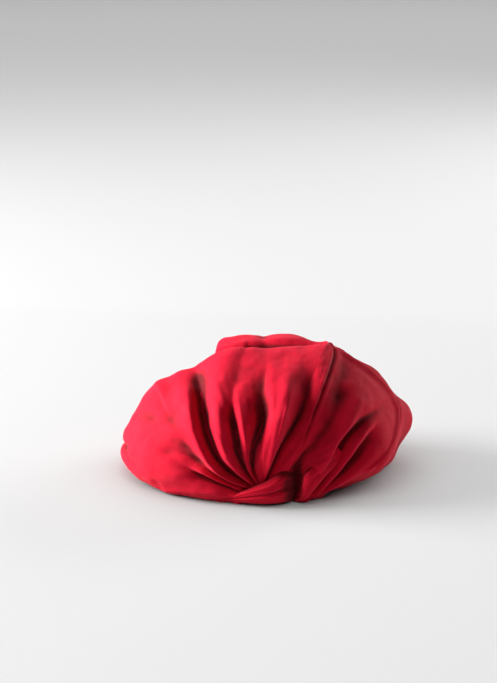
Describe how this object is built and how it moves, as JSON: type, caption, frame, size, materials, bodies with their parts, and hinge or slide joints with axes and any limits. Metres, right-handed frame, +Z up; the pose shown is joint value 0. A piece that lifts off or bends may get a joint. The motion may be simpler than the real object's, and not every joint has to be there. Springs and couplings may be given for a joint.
{
  "type": "turban headwrap",
  "caption": "Pull-on turban headwrap of woven cloth: two lined crown halves, a seam over the crown, a twist at the brow and an elastic casing at the nape.",
  "frame": {"origin": "middle of the wrap's box, on the surface that it stands on", "axes": "+X to the right as seen from the brow, -Y out of the brow, +Z up to the crown"},
  "size_m": [0.2376, 0.1959, 0.1092],
  "materials": {
    "red_cotton": "plain-woven cotton, matt, garment-washed",
    "red_lining": "light plain-woven cotton, matt",
    "red_thread": "spun polyester thread",
    "white_elastic": "braided elastic",
    "label_satin": "blank satin ribbon"
  },
  "bodies": {
    "crown": {"left_crown_panel": "red_cotton", "right_crown_panel": "red_cotton", "left_lining_panel": "red_lining", "right_lining_panel": "red_lining", "knot_front_strand": "red_cotton", "knot_rear_strand": "red_cotton", "crown_seam_thread": "red_thread", "lining_seam_thread": "red_thread", "knot_tack_thread": "red_thread"},
    "nape": {"nape_casing": "red_cotton", "nape_elastic": "white_elastic", "casing_stitch_thread": "red_thread", "elastic_tack_left": "red_thread", "elastic_tack_right": "red_thread", "care_label": "label_satin"}
  },
  "joints": [
    {"name": "nape_elastic_stretch", "type": "slide", "parent": "crown", "child": "nape", "axis": [0, 1, 0], "range_m": [0, 0.025], "stiffness_N_per_m": 140, "deforming": ["nape_elastic"]}
  ]
}
